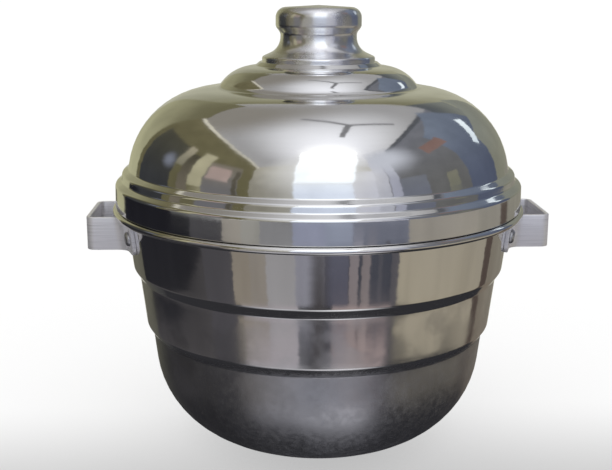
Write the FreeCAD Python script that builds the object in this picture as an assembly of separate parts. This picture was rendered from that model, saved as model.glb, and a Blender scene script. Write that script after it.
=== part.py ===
import FreeCAD, Part
import math
import os

# Aluminium idli steamer: a spun pot with stepped walls, two riveted strap handles, two perforated idli plates
# that rest on the pot's inner ledges, and a domed lid with a turned knob.
# Millimetres, +Z up, origin at the centre of the pot's base, handles along X.

# Pot
rim_radius = 133.0
pot_height = 155.5
pot_sheet = 2.0
rim_roll_height = 4.2
rim_overhang = 8.25
rim_lip_rounding = 3.5
wall_taper_degrees = 6.6
bowl_rounding = 62.3
lower_ledge_share = 0.4907
upper_ledge_share = 0.7331
ledge_run = 3.85
ledge_rise = 6.0
ledge_crest_rounding = 4.0
ledge_foot_rounding = 2.5

# Strap handles
strap_thickness = 3.0
strap_height = 21.0
strap_drop = 0.4
handle_half_width = 27.0
handle_reach = 23.1
handle_corner_rounding = 4.0
ear_bend_rounding = 10.0
ear_length = 14.0
ear_corner_rounding = 6.0
ear_gap = 0.1

# Handle rivets
rivet_shank_radius = 2.5
rivet_head_radius = 4.6
rivet_head_height = 2.4
rivet_tail_height = 1.6
rivet_fit = 0.05
rivet_seat = 0.12

# Idli plates
plate_sheet = 1.2
plate_seat_gap = 0.25
plate_land = 7.4
cup_count = 6
cup_gap = 7.5
cup_collar = 3.0
cup_depth = 16.5
cup_side_run = 13.0
cup_floor_rounding = 35.0
cup_lip_rounding = 4.0
steam_hole_radius = 1.6
steam_hole_ring = 13.0
steam_hole_count = 6
inner_vent_radius = 3.5
outer_vent_radius = 5.5
vent_land = 8.0

# Lid
lid_sheet = 1.5
lid_seat_gap = 0.3
skirt_inset = 2.0
skirt_height = 14.8
skirt_lean = 0.3
skirt_foot_rounding = 0.8
spigot_gap = 0.7
spigot_depth = 10.0
bead_height = 4.4
bead_lean = 0.5
shelf_run = 4.0
shelf_rise = 2.6
crest_rounding = 2.6
root_rounding = 1.6
dome_rise = 74.8
dome_lean_degrees = 9.5
dome_rounding = 56.0
crown_slope_degrees = 7.5
tier_radius = 65.0
tier_height = 10.4
tier_lean = 10.4
tier_rounding = 9.0
tier_slope_rise = 3.0
tier_root_rounding = 12.0
knob_seat_rise = 2.4
knob_seat_run = 3.0
knob_seat_margin = 1.5
knob_seat_rounding = 1.5

# Knob
knob_height = 35.1
knob_crown = 1.6
knob_cap_radius = 27.3
knob_cap_base = 21.8
knob_cap_rounding = 6.5
knob_cap_foot_rounding = 4.0
knob_waist_radius = 24.3
knob_waist_top = 17.8
knob_waist_rounding = 4.0
knob_flare_top = 8.4
knob_flare_rounding = 11.0
knob_foot_radius = 36.0
knob_foot_height = 3.6
knob_foot_rounding = 1.6
knob_wall = 3.4
knob_roof = 6.0
knob_boss_radius = 7.5

# Knob screw and washer
screw_radius = 2.5
screw_fit = 0.1
screw_grip = 15.0
screw_hole_spare = 3.0
screw_head_radius = 4.8
screw_head_height = 3.0
screw_head_rounding = 1.6
screw_slot_width = 1.2
screw_slot_depth = 1.3
washer_radius = 7.0
washer_thickness = 1.2

# How far a cutting shape runs past the piece that it cuts
cut_overrun = 4.0

AXIS = FreeCAD.Vector(0, 0, 1)
ORIGIN = FreeCAD.Vector(0, 0, 0)
FULL_TURN = 360.0
HALF_TURN = 180.0


def in_section(radius, height):
    """A point of a turned section: radius along X, height along Z."""
    return FreeCAD.Vector(radius, 0, height)


def rounded_wire(corners, closed=False):
    """Lines through (radius, height, rounding) corners, with a tangent arc at each rounded corner.

    Where two roundings ask for more than the side between them, both give way alike.
    """
    points = [in_section(radius, height) for radius, height, rounding in corners]
    count = len(points)
    inner = range(count) if closed else range(1, count - 1)
    half_angle = {}
    reach = [0.0] * count
    for i in inner:
        back = points[i - 1] - points[i]
        ahead = points[(i + 1) % count] - points[i]
        half_angle[i] = back.getAngle(ahead) / 2
        reach[i] = corners[i][2] / math.tan(half_angle[i])
    wanted = list(reach)
    for i in range(count if closed else count - 1):
        after = (i + 1) % count
        span = points[i].distanceToPoint(points[after])
        asked = wanted[i] + wanted[after]
        if asked > span:
            reach[i] = min(reach[i], wanted[i] * span / asked)
            reach[after] = min(reach[after], wanted[after] * span / asked)
    edges = []
    arrivals = []
    departures = []
    arcs = []
    for i in range(count):
        if reach[i] == 0:
            arrivals.append(points[i])
            departures.append(points[i])
            arcs.append(None)
            continue
        back = (points[i - 1] - points[i]).normalize()
        ahead = (points[(i + 1) % count] - points[i]).normalize()
        rounding = reach[i] * math.tan(half_angle[i])
        inset = rounding / math.sin(half_angle[i]) - rounding
        middle = points[i] + (back + ahead).normalize() * inset
        arrivals.append(points[i] + back * reach[i])
        departures.append(points[i] + ahead * reach[i])
        arcs.append(Part.Arc(arrivals[i], middle, departures[i]).toShape())
    for i in range(count if closed else count - 1):
        if arcs[i]:
            edges.append(arcs[i])
        after = (i + 1) % count
        if not departures[i].isEqual(arrivals[after], Part.Precision.confusion()):
            edges.append(Part.LineSegment(departures[i], arrivals[after]).toShape())
    return Part.Wire(edges)


def turned(corners):
    """A solid turned from a closed section."""
    return Part.Face(rounded_wire(corners, closed=True)).revolve(ORIGIN, AXIS, FULL_TURN)


def turned_sheet(corners, thickness):
    """A spun sheet: its face follows the corners, and its thickness lies to the left of the path."""
    section = rounded_wire(corners).makeOffset2D(thickness, fill=True, openResult=True)
    return section.revolve(ORIGIN, AXIS, FULL_TURN)


def ring_places(count, radius, first_degrees=0.0):
    """Points evenly spaced on a circle about the axis."""
    step = FULL_TURN / count
    angles = [math.radians(first_degrees + step * i) for i in range(count)]
    return [FreeCAD.Vector(radius * math.cos(a), radius * math.sin(a), 0) for a in angles]


# Pot wall, worked out from the rim down: each section tapers, and each ledge, at its share of the height,
# steps in by one run
taper = math.tan(math.radians(wall_taper_degrees))
rim_base = pot_height - rim_roll_height
mouth_radius = rim_radius - rim_overhang
lower_ledge_height = pot_height * lower_ledge_share
upper_ledge_height = pot_height * upper_ledge_share
half_rise = ledge_rise / 2


def upper_wall_radius(height):
    """Outer radius of the pot's top section."""
    return mouth_radius - (rim_base - height) * taper


upper_crest = (upper_wall_radius(upper_ledge_height + half_rise), upper_ledge_height + half_rise)
upper_foot = (upper_crest[0] - ledge_run, upper_ledge_height - half_rise)
lower_crest_height = lower_ledge_height + half_rise
lower_crest = (upper_foot[0] - (upper_foot[1] - lower_crest_height) * taper, lower_crest_height)
lower_foot = (lower_crest[0] - ledge_run, lower_ledge_height - half_rise)
base_corner_radius = lower_foot[0] - lower_foot[1] * taper


def pot_shell():
    """Bowl, two stepped shoulders and tapered walls in one sheet, closed by a rolled rim."""
    wall = turned_sheet([
        (0, 0, 0),
        (base_corner_radius, 0, bowl_rounding),
        (*lower_foot, ledge_foot_rounding),
        (*lower_crest, ledge_crest_rounding),
        (*upper_foot, ledge_foot_rounding),
        (*upper_crest, ledge_crest_rounding),
        (mouth_radius, rim_base, 0),
    ], pot_sheet)
    mouth_inside = mouth_radius - pot_sheet * math.cos(math.radians(wall_taper_degrees))
    rim = turned([
        (mouth_inside, rim_base, 0),
        (rim_radius, rim_base, rim_roll_height / 2),
        (rim_radius, pot_height, rim_roll_height / 2),
        (mouth_inside, pot_height, rim_lip_rounding),
    ])
    return wall.fuse(rim).removeSplitter()


# Handle plan, shared by both straps and by the rivets that hold them
strap_top = rim_base - strap_drop
strap_base = strap_top - strap_height
rivet_height = (strap_top + strap_base) / 2
arm_offset = handle_half_width - strap_thickness / 2


def ear_plan(wall_radius):
    """Middle radius of an ear, the bend's centre and its bearing, on a wall of this radius."""
    middle = wall_radius + ear_gap + strap_thickness / 2
    centre_y = arm_offset + ear_bend_rounding
    centre_x = math.sqrt((middle + ear_bend_rounding) ** 2 - centre_y ** 2)
    return middle, centre_x, centre_y, math.atan2(centre_y, centre_x)


def polar(radius, angle, height, centre_x=0.0, centre_y=0.0):
    """A point at an angle round a centre, at a height."""
    return FreeCAD.Vector(centre_x + radius * math.cos(angle), centre_y + radius * math.sin(angle), height)


def strap_side(wall_radius, height, offset):
    """One face of half a strap, seen from above, from the ear's end to the middle of the grip."""
    middle, bend_x, bend_y, bend_angle = ear_plan(wall_radius)
    ear_radius = middle + offset
    ear_end = bend_angle + ear_length / middle
    ear_middle = (bend_angle + ear_end) / 2
    ear = Part.Arc(polar(ear_radius, ear_end, height), polar(ear_radius, ear_middle, height),
                   polar(ear_radius, bend_angle, height)).toShape()

    bend_radius = ear_bend_rounding - offset
    bend_start = bend_angle + math.pi
    bend_stop = math.pi * 3 / 2
    bend_points = [polar(bend_radius, angle, height, bend_x, bend_y)
                   for angle in (bend_start, (bend_start + bend_stop) / 2, bend_stop)]
    bend = Part.Arc(*bend_points).toShape()

    grip_x = mouth_radius + handle_reach - strap_thickness / 2
    corner_x = grip_x - handle_corner_rounding
    corner_y = arm_offset - handle_corner_rounding
    corner_points = [polar(handle_corner_rounding + offset, angle, height, corner_x, corner_y)
                     for angle in (math.pi / 2, math.pi / 4, 0)]
    corner = Part.Arc(*corner_points).toShape()

    arm = Part.LineSegment(bend_points[-1], corner_points[0]).toShape()
    grip = Part.LineSegment(corner_points[-1], FreeCAD.Vector(grip_x + offset, 0, height)).toShape()
    return [ear, bend, arm, corner, grip]


def strap_outline(wall_radius, height):
    """The strap's closed outline at one height, where the wall has this radius."""
    half = strap_thickness / 2
    outer = strap_side(wall_radius, height, half)
    inner = strap_side(wall_radius, height, -half)
    end = Part.LineSegment(inner[0].firstVertex(True).Point, outer[0].firstVertex(True).Point).toShape()
    near_half = outer + inner + [end]
    far_half = [edge.mirror(ORIGIN, FreeCAD.Vector(0, 1, 0)) for edge in near_half]
    return Part.Wire(Part.__sortEdges__(near_half + far_half))


def rivet_axis(side_y):
    """Where a rivet meets the pot's outer wall, and its outward direction, square to the wall."""
    wall_radius = upper_wall_radius(rivet_height)
    middle, bend_x, bend_y, bend_angle = ear_plan(wall_radius)
    angle = side_y * (bend_angle + ear_length / middle / 2)
    tilt = math.radians(wall_taper_degrees)
    outward = FreeCAD.Vector(math.cos(angle) * math.cos(tilt), math.sin(angle) * math.cos(tilt), -math.sin(tilt))
    return polar(wall_radius, angle, rivet_height), outward


def on_rivet_axis(shape, side_y):
    """A shape made along Z from the wall's outer face, set on a rivet's axis."""
    place, outward = rivet_axis(side_y)
    placed = shape.copy()
    placed.Placement = FreeCAD.Placement(place, FreeCAD.Rotation(AXIS, outward))
    return placed


def rivet_holes():
    """Cutters for the rivet holes of the right handle."""
    length = pot_sheet + strap_thickness + cut_overrun * 2
    drill = Part.makeCylinder(rivet_shank_radius + rivet_fit, length,
                              FreeCAD.Vector(0, 0, -pot_sheet - cut_overrun))
    return [on_rivet_axis(drill, side_y) for side_y in (-1, 1)]


def strap_handle():
    """The right handle: a strap bent to a squared U, its ears leaning with the pot's wall."""
    strap = Part.makeLoft([
        strap_outline(upper_wall_radius(strap_base), strap_base),
        strap_outline(upper_wall_radius(strap_top), strap_top),
    ], True, True)
    half = strap_thickness / 2
    ends = [edge for edge in strap.Edges
            if abs(edge.BoundBox.ZLength) < half and edge.Length < strap_thickness * 2
            and abs(edge.CenterOfMass.y) > handle_half_width + ear_bend_rounding]
    strap = strap.makeFillet(ear_corner_rounding, ends)
    return strap.cut(Part.makeCompound(rivet_holes()))


def handle_rivets():
    """The right handle's two rivets: a domed head on the ear, a flat tail inside the pot."""
    tail = -pot_sheet - rivet_seat
    head = ear_gap + strap_thickness + rivet_seat
    rivet = turned([
        (0, tail - rivet_tail_height, 0),
        (rivet_head_radius, tail - rivet_tail_height, rivet_tail_height / 2),
        (rivet_head_radius, tail, 0),
        (rivet_shank_radius, tail, 0),
        (rivet_shank_radius, head, 0),
        (rivet_head_radius, head, 0),
        (rivet_head_radius, head + rivet_head_height, rivet_head_height),
        (0, head + rivet_head_height, 0),
    ])
    return Part.makeCompound([on_rivet_axis(rivet, side_y) for side_y in (-1, 1)])


def on_left(shape):
    """The same piece turned half round the pot."""
    return shape.copy().rotate(ORIGIN, AXIS, HALF_TURN)


# Plate seats: a plate's lower edge rests on the slope inside a ledge, half way up it
ledge_slope = math.hypot(ledge_run, ledge_rise)
seat_offset = pot_sheet + plate_seat_gap
seat_inset = ledge_run / 2 + seat_offset * ledge_rise / ledge_slope
seat_lift = seat_offset * ledge_run / ledge_slope
lower_plate_radius = lower_crest[0] - seat_inset
upper_plate_radius = upper_crest[0] - seat_inset

# Seven cups fill the lower plate, one in the middle and six round it, so three cup radii lie along its radius.
# The upper plate takes the same cups.
cup_radius = (lower_plate_radius - plate_land - cup_gap) / 3
cup_ring_radius = cup_radius * 2 + cup_gap
collar_radius = cup_radius + cup_collar


def idli_cup():
    """One dished cup with a rounded lip, its top face at height zero."""
    return turned_sheet([
        (collar_radius, 0, 0),
        (cup_radius, 0, cup_lip_rounding),
        (cup_radius - cup_side_run, -cup_depth, cup_floor_rounding),
        (0, -cup_depth, 0),
    ], plate_sheet)


def idli_plate(radius, seat_height, turn_degrees):
    """A flat plate with seven cups, steam holes in each cup and vents between the cups."""
    cup_places = [ORIGIN] + ring_places(cup_count, cup_ring_radius, turn_degrees)
    below = FreeCAD.Vector(0, 0, -plate_sheet - cut_overrun)
    sheet_cut = plate_sheet + cut_overrun * 2
    plate = Part.makeCylinder(radius, plate_sheet, FreeCAD.Vector(0, 0, -plate_sheet))
    openings = [Part.makeCylinder(collar_radius, sheet_cut, place + below) for place in cup_places]
    plate = plate.cut(Part.makeCompound(openings))
    cup = idli_cup()
    cups = [cup.translated(place) for place in cup_places]
    plate = plate.fuse(cups).removeSplitter()

    between_degrees = turn_degrees + HALF_TURN / cup_count
    inner_ring = cup_ring_radius / math.cos(math.radians(HALF_TURN / cup_count)) / 2
    outer_ring = lower_plate_radius - vent_land - outer_vent_radius
    drills = [Part.makeCylinder(inner_vent_radius, sheet_cut, place + below)
              for place in ring_places(cup_count, inner_ring, between_degrees)]
    drills += [Part.makeCylinder(outer_vent_radius, sheet_cut, place + below)
               for place in ring_places(cup_count, outer_ring, between_degrees)]
    hole_base = FreeCAD.Vector(0, 0, -cup_depth - plate_sheet - cut_overrun)
    for place in cup_places:
        for spot in [ORIGIN] + ring_places(steam_hole_count, steam_hole_ring):
            drills.append(Part.makeCylinder(steam_hole_radius, cup_depth, place + spot + hole_base))
    plate = plate.cut(Part.makeCompound(drills))
    plate.translate(FreeCAD.Vector(0, 0, seat_height + seat_lift + plate_sheet))
    return plate


# Lid heights and radii, worked out from the rim up
lid_base = pot_height + lid_seat_gap
skirt_radius = rim_radius - skirt_inset
tier_base = lid_base + dome_rise
knob_seat_foot = tier_base + tier_height + tier_slope_rise
knob_seat = knob_seat_foot + knob_seat_rise
knob_seat_radius = knob_foot_radius + knob_seat_margin
screw_hole_radius = screw_radius + screw_fit


def lid_shell():
    """Raised knob seat, tier, dome, bead, skirt and the spigot that drops into the pot's mouth, in one sheet."""
    spigot_foot = lid_base - spigot_depth
    spigot_radius = upper_wall_radius(spigot_foot) - pot_sheet - spigot_gap
    step_corners = []
    radius = skirt_radius
    height = lid_base
    for riser, lean in ((skirt_height, skirt_lean), (bead_height, bead_lean)):
        radius -= lean
        height += riser
        step_corners.append((radius, height, crest_rounding))
        radius -= shelf_run
        height += shelf_rise
        step_corners.append((radius, height, root_rounding))
    dome_lean = math.tan(math.radians(dome_lean_degrees))
    crown_slope = math.tan(math.radians(crown_slope_degrees))
    crown_run = (radius - tier_radius + (height - tier_base) * dome_lean) / (1 - dome_lean * crown_slope)
    dome_corner = (tier_radius + crown_run, tier_base - crown_run * crown_slope, dome_rounding)
    return turned_sheet([
        (spigot_radius, spigot_foot, 0),
        (spigot_radius, lid_base, root_rounding),
        (skirt_radius, lid_base, skirt_foot_rounding),
        *step_corners,
        dome_corner,
        (tier_radius, tier_base, tier_root_rounding),
        (tier_radius - tier_lean, tier_base + tier_height, tier_rounding),
        (knob_seat_radius + knob_seat_run, knob_seat_foot, knob_seat_rounding),
        (knob_seat_radius, knob_seat, knob_seat_rounding),
        (screw_hole_radius, knob_seat, 0),
    ], lid_sheet)


def knob():
    """A hollow turned knob: flared foot, waist and rounded cap, with a boss for the screw inside."""
    top = knob_seat + knob_height
    foot_top = knob_seat + knob_foot_height
    cavity_radius = knob_waist_radius - knob_wall
    cavity_roof = top - knob_roof
    hole_end = knob_seat + screw_grip + screw_hole_spare
    return turned([
        (0, top, 0),
        (knob_cap_radius, top - knob_crown, knob_cap_rounding),
        (knob_cap_radius, knob_seat + knob_cap_base, knob_cap_foot_rounding),
        (knob_waist_radius, knob_seat + knob_waist_top, knob_waist_rounding),
        (knob_waist_radius, knob_seat + knob_flare_top, knob_flare_rounding),
        (knob_foot_radius, foot_top, knob_foot_rounding),
        (knob_foot_radius, knob_seat, 0),
        (cavity_radius, knob_seat, 0),
        (cavity_radius, cavity_roof, knob_wall),
        (knob_boss_radius, cavity_roof, knob_wall),
        (knob_boss_radius, knob_seat, 0),
        (screw_hole_radius, knob_seat, 0),
        (screw_hole_radius, hole_end, 0),
        (0, hole_end, 0),
    ])


# The screw's stack hangs under the lid sheet
washer_top = knob_seat - lid_sheet
screw_seat = washer_top - washer_thickness


def washer():
    """A plain round washer between the lid and the screw's head."""
    return turned([
        (screw_hole_radius, screw_seat, 0),
        (washer_radius, screw_seat, 0),
        (washer_radius, washer_top, 0),
        (screw_hole_radius, washer_top, 0),
    ])


def screw():
    """A slotted pan-head screw, driven up through the washer and the lid into the knob's boss."""
    head_base = screw_seat - screw_head_height
    body = turned([
        (0, head_base, 0),
        (screw_head_radius, head_base, screw_head_rounding),
        (screw_head_radius, screw_seat, 0),
        (screw_radius, screw_seat, 0),
        (screw_radius, knob_seat + screw_grip, 0),
        (0, knob_seat + screw_grip, 0),
    ])
    slot_length = (screw_head_radius + cut_overrun) * 2
    slot = Part.makeBox(slot_length, screw_slot_width, screw_slot_depth + cut_overrun,
                        FreeCAD.Vector(-slot_length / 2, -screw_slot_width / 2, head_base - cut_overrun))
    return body.cut(slot)


right_strap = strap_handle()
right_rivets = handle_rivets()
right_holes = rivet_holes()
wall_holes = right_holes + [on_left(hole) for hole in right_holes]

pieces = {
    "pot_body": pot_shell().cut(Part.makeCompound(wall_holes)),
    "right_handle": right_strap,
    "left_handle": on_left(right_strap),
    "right_handle_rivets": right_rivets,
    "left_handle_rivets": on_left(right_rivets),
    "lower_idli_plate": idli_plate(lower_plate_radius, lower_ledge_height, 0.0),
    "upper_idli_plate": idli_plate(upper_plate_radius, upper_ledge_height, HALF_TURN / cup_count),
    "lid_dome": lid_shell(),
    "lid_knob": knob(),
    "knob_washer": washer(),
    "knob_screw": screw(),
}

os.makedirs("parts", exist_ok=True)
for name, shape in pieces.items():
    shape.exportStep("parts/" + name + ".step")
    print(name, shape.ShapeType, len(shape.Solids), shape.isValid(), round(shape.Volume))
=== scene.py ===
import math

import bmesh
import bpy
from mathutils import Matrix, Vector


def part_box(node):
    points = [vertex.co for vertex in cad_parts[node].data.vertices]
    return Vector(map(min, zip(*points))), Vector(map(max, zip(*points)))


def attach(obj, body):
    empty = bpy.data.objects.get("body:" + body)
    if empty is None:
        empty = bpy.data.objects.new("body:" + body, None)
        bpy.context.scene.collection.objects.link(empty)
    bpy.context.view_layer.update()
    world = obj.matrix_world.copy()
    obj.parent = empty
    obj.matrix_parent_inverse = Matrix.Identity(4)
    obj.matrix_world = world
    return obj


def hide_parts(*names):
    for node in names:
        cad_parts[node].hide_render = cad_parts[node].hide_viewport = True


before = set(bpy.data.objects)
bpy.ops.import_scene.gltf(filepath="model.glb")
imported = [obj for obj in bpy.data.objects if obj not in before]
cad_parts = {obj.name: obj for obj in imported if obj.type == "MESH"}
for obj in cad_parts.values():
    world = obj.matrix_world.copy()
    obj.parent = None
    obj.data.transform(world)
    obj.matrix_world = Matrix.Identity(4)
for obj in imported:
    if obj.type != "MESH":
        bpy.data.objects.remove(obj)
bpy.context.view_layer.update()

# Pot: one disc of aluminium sheet spun over a former, with a round bowl, two stepped shoulders that make
# ledges inside for the plates, and a rim rolled outwards. The walls are buffed to a mirror, less so step by
# step towards the bowl, which stands over the flame and stays dull.
pot_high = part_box("pot_body")[1]
rim_radius = pot_high.x
pot_height = pot_high.z
pot_sheet = 0.0020
rim_roll_height = 0.0042
rim_overhang = 0.00825
rim_lip_rounding = 0.0035
wall_taper_degrees = 6.6
bowl_rounding = 0.0623
lower_ledge_share = 0.4907
upper_ledge_share = 0.7331
ledge_run = 0.00385
ledge_rise = 0.0060
ledge_crest_rounding = 0.0040
ledge_foot_rounding = 0.0025

wall_taper = math.tan(math.radians(wall_taper_degrees))
rim_base = pot_height - rim_roll_height
mouth_radius = rim_radius - rim_overhang
lower_ledge_height = pot_height * lower_ledge_share
upper_ledge_height = pot_height * upper_ledge_share


def upper_wall_radius(height):
    """Outer radius of the pot's top section."""
    return mouth_radius - (rim_base - height) * wall_taper


upper_crest_height = upper_ledge_height + ledge_rise / 2
upper_crest = (upper_wall_radius(upper_crest_height), upper_crest_height)
upper_foot = (upper_crest[0] - ledge_run, upper_ledge_height - ledge_rise / 2)
lower_crest_height = lower_ledge_height + ledge_rise / 2
lower_crest = (upper_foot[0] - (upper_foot[1] - lower_crest_height) * wall_taper, lower_crest_height)
lower_foot = (lower_crest[0] - ledge_run, lower_ledge_height - ledge_rise / 2)
base_corner_radius = lower_foot[0] - lower_foot[1] * wall_taper

arc_step = math.radians(6.0)
run_step = 0.0040


def stepped_run(start, end):
    """Points on a straight run, close enough together for an even reflection, without its start."""
    steps = max(1, math.ceil((end - start).length / run_step))
    return [start.lerp(end, (i + 1) / steps) for i in range(steps)]


def rounded_section(corners):
    """Points along (radius, height, rounding) corners, with a tangent arc at each rounded corner."""
    points = [Vector((radius, height)) for radius, height, rounding in corners]
    section = [points[0]]
    for before, corner, after, (radius, height, rounding) in zip(points, points[1:], points[2:], corners[1:]):
        if not rounding:
            section += stepped_run(section[-1], corner)
            continue
        back = (before - corner).normalized()
        ahead = (after - corner).normalized()
        half_angle = back.angle(ahead) / 2
        centre = corner + (back + ahead).normalized() * (rounding / math.sin(half_angle))
        reach = rounding / math.tan(half_angle)
        first_spoke = corner + back * reach - centre
        last_spoke = corner + ahead * reach - centre
        sweep = -first_spoke.angle_signed(last_spoke)
        section += stepped_run(section[-1], centre + first_spoke)
        steps = max(2, math.ceil(abs(sweep) / arc_step))
        section += [centre + Matrix.Rotation(sweep * (i + 1) / steps, 2) @ first_spoke for i in range(steps)]
    section += stepped_run(section[-1], points[-1])
    return section


def sheet_back(section, thickness):
    """The other face of a sheet whose first face follows the section: it lies to the left of the path."""
    back = []
    for i, point in enumerate(section):
        path_in = (point - section[i - 1] if i else section[1] - point).normalized()
        path_out = (section[i + 1] - point if i + 1 < len(section) else path_in).normalized()
        along = (path_in + path_out).normalized()
        back.append(point + Vector((-along.y, along.x)) * (thickness / along.dot(path_in)))
    return back


spin_steps = 240
weld_distance = 0.00001
crease_angle = math.radians(40.0)


def finished_piece(name, bm, material):
    """A smooth-shaded piece from a bmesh, with real corners left sharp."""
    bmesh.ops.remove_doubles(bm, verts=bm.verts, dist=weld_distance)
    bmesh.ops.recalc_face_normals(bm, faces=bm.faces)
    mesh = bpy.data.meshes.new(name)
    bm.to_mesh(mesh)
    bm.free()
    mesh.shade_smooth()
    mesh.set_sharp_from_angle(angle=crease_angle)
    mesh.materials.append(material)
    piece = bpy.data.objects.new(name, mesh)
    bpy.context.scene.collection.objects.link(piece)
    return piece


def unit(angle):
    """The direction at an angle, seen from above."""
    return Vector((math.cos(angle), math.sin(angle)))


def spun_piece(name, section, material, closed=False, steps=spin_steps):
    """A piece turned about Z from a section that starts and ends on the axis or is a closed loop."""
    bm = bmesh.new()
    spokes = [unit(math.tau * i / steps) for i in range(steps)]
    rings = [[bm.verts.new((*(spoke * point.x), point.y)) for spoke in spokes] for point in section]
    for ring, following in zip(rings, rings[1:] + rings[:closed]):
        for i in range(steps):
            bm.faces.new((ring[i - 1], ring[i], following[i], following[i - 1]))
    return finished_piece(name, bm, material)


def add_node(tree, kind, inputs=None, **settings):
    """A node with its settings, each input linked to a socket or set to a value."""
    node = tree.nodes.new(kind)
    for name, value in settings.items():
        setattr(node, name, value)
    for key, value in (inputs or {}).items():
        if isinstance(value, bpy.types.NodeSocket):
            tree.links.new(value, node.inputs[key])
        else:
            node.inputs[key].default_value = value
    return node


def bare_metal(name):
    """A material that is metal all through, and the tree and shader to finish it with."""
    material = bpy.data.materials.new(name)
    material.use_nodes = True
    shader = material.node_tree.nodes["Principled BSDF"]
    shader.inputs["Metallic"].default_value = 1.0
    return material, material.node_tree, shader


def object_place(tree):
    """Where a point lies on the piece."""
    return add_node(tree, "ShaderNodeTexCoord").outputs["Object"]


def split_place(tree):
    """The X, Y and Z of a point on the piece."""
    return add_node(tree, "ShaderNodeSeparateXYZ", {"Vector": object_place(tree)}).outputs


def maths(tree, operation, *values):
    """One sum on values, in a material or a geometry tree."""
    return add_node(tree, "ShaderNodeMath", dict(enumerate(values)), operation=operation).outputs["Value"]


def vector_maths(tree, operation, *values):
    """One sum on vectors."""
    node = add_node(tree, "ShaderNodeVectorMath", dict(enumerate(values)), operation=operation)
    return node.outputs["Vector"]


def length_of(tree, vector):
    """A vector's length."""
    return add_node(tree, "ShaderNodeVectorMath", {0: vector}, operation="LENGTH").outputs["Value"]


def vector_of(tree, **parts):
    """A vector from its X, Y and Z, with zero for those not given."""
    return add_node(tree, "ShaderNodeCombineXYZ", parts).outputs["Vector"]


def ring_place(tree):
    """Radius and height of a point on a spun piece, as a vector, so that a pattern on it runs in rings."""
    split = split_place(tree)
    radius = length_of(tree, vector_of(tree, X=split["X"], Y=split["Y"]))
    return vector_of(tree, X=radius, Z=split["Z"])


noise_detail = 2.0
most_noise = (0.3, 0.7)
whole_share = (0.0, 1.0)


def noise(tree, place, scale, detail=noise_detail):
    """A value between 0 and 1, mostly from 0.3 to 0.7, that varies at so many lumps to the metre."""
    inputs = {"Vector": place, "Scale": scale, "Detail": detail}
    return add_node(tree, "ShaderNodeTexNoise", inputs).outputs["Fac"]


def spread(tree, value, from_range, to_range):
    """A value moved from one range to another, smoothly and held at the ends."""
    inputs = {"Value": value, "From Min": from_range[0], "From Max": from_range[1],
              "To Min": to_range[0], "To Max": to_range[1]}
    return add_node(tree, "ShaderNodeMapRange", inputs, interpolation_type="SMOOTHSTEP").outputs["Result"]


def bumps(tree, *layers):
    """A normal with (height value, depth in metres) layers stacked in it."""
    inputs = {}
    for height, depth in layers:
        bump = add_node(tree, "ShaderNodeBump", {"Height": height, "Distance": depth, **inputs})
        inputs = {"Normal": bump.outputs["Normal"]}
    return inputs["Normal"]


def finish(tree, shader, colour, roughness, normal):
    """Links a metal's colour, roughness and normal to its shader."""
    for name, socket in (("Base Color", colour), ("Roughness", roughness), ("Normal", normal)):
        tree.links.new(socket, shader.inputs[name])


ring_anisotropy = 0.6


def ring_grain(tree, shader, normal, swing):
    """The grain that spinning leaves: rings that draw reflections out across them and make edges waver."""
    grain_scale = 420.0
    grain_range = (0.25, 0.75)
    quarter_turn = 0.25
    spin_axis = (0.0, 0.0, 1.0)
    cross = vector_maths(tree, "CROSS_PRODUCT", spin_axis, object_place(tree))
    around = vector_maths(tree, "NORMALIZE", cross)
    sway = spread(tree, noise(tree, ring_place(tree), grain_scale), grain_range, (-swing, swing))
    sideways = add_node(tree, "ShaderNodeVectorMath", {0: around, "Scale": sway}, operation="SCALE")
    swung = vector_maths(tree, "ADD", normal, sideways.outputs["Vector"])
    tree.links.new(around, shader.inputs["Tangent"])
    shader.inputs["Anisotropic"].default_value = ring_anisotropy
    shader.inputs["Anisotropic Rotation"].default_value = quarter_turn
    return vector_maths(tree, "NORMALIZE", swung)


def colour_mix(tree, share, first, second):
    """A colour between two others."""
    return add_node(tree, "ShaderNodeMix", {0: share, 6: first, 7: second}, data_type="RGBA").outputs[2]


def value_mix(tree, share, first, second):
    """A value between two others."""
    return add_node(tree, "ShaderNodeMix", {0: share, 2: first, 3: second}).outputs[0]


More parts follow.
